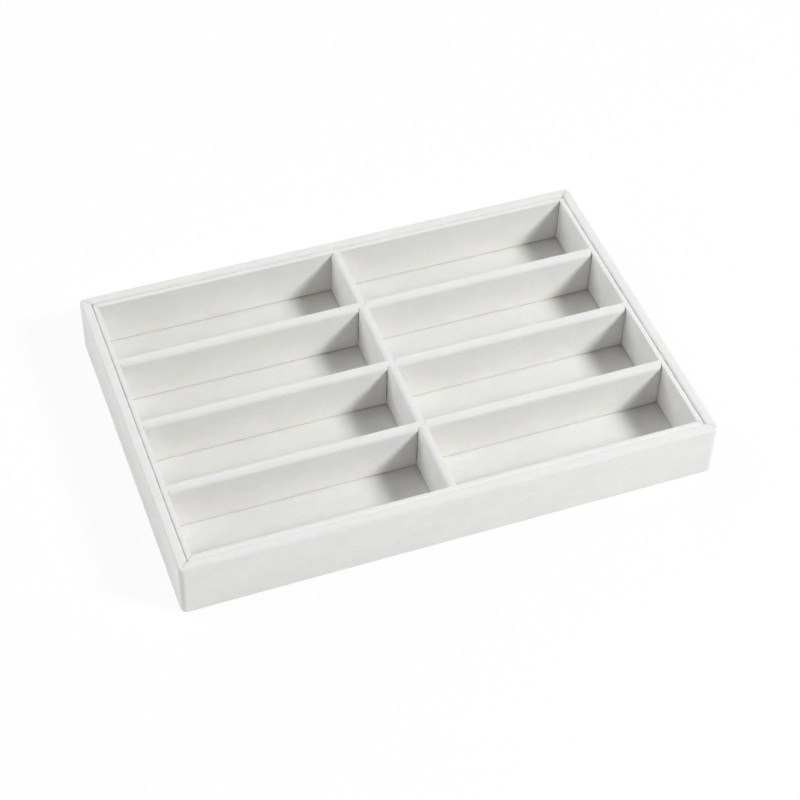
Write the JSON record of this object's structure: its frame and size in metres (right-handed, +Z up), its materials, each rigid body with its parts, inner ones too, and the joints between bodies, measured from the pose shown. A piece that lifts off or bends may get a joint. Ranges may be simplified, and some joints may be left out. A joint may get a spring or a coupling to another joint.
{
  "type": "eyeglass storage tray",
  "caption": "Shallow velvet-covered tray with a lift-out egg-crate insert that makes two columns of long compartments for folded glasses.",
  "frame": {"origin": "on the ground under the middle of the tray", "axes": "+X along the long side, towards the right end seen from the front; -Y towards the front; +Z up"},
  "size_m": [0.35, 0.24, 0.041],
  "materials": {
    "velvet": "pale warm grey short-pile velvet, matt with a soft sheen",
    "underside_suede": "thin matt flocked sheet, a little darker than the velvet",
    "fibreboard": "raw medium-density fibreboard, hidden under the velvet",
    "greyboard": "raw grey card, hidden under the velvet"
  },
  "bodies": {
    "tray": {"underside_sheet": "underside_suede", "base_board": "fibreboard", "floor_card": "greyboard", "floor_velvet": "velvet", "front_wall_board": "fibreboard", "back_wall_board": "fibreboard", "left_wall_board": "fibreboard", "right_wall_board": "fibreboard", "front_wall_velvet": "velvet", "back_wall_velvet": "velvet", "left_wall_velvet": "velvet", "right_wall_velvet": "velvet"},
    "insert": {"front_liner_board": "greyboard", "back_liner_board": "greyboard", "left_liner_board": "greyboard", "right_liner_board": "greyboard", "front_liner_velvet": "velvet", "back_liner_velvet": "velvet", "left_liner_velvet": "velvet", "right_liner_velvet": "velvet", "centre_divider_board": "fibreboard", "centre_divider_velvet": "velvet", "cross_divider_board_1": "fibreboard", "cross_divider_board_2": "fibreboard", "cross_divider_board_3": "fibreboard", "cross_divider_velvet_1": "velvet", "cross_divider_velvet_2": "velvet", "cross_divider_velvet_3": "velvet"}
  },
  "joints": [
    {"name": "insert_lift", "type": "slide", "parent": "tray", "child": "insert", "axis": [0, 0, 1], "range_m": [0, 0.045]}
  ]
}
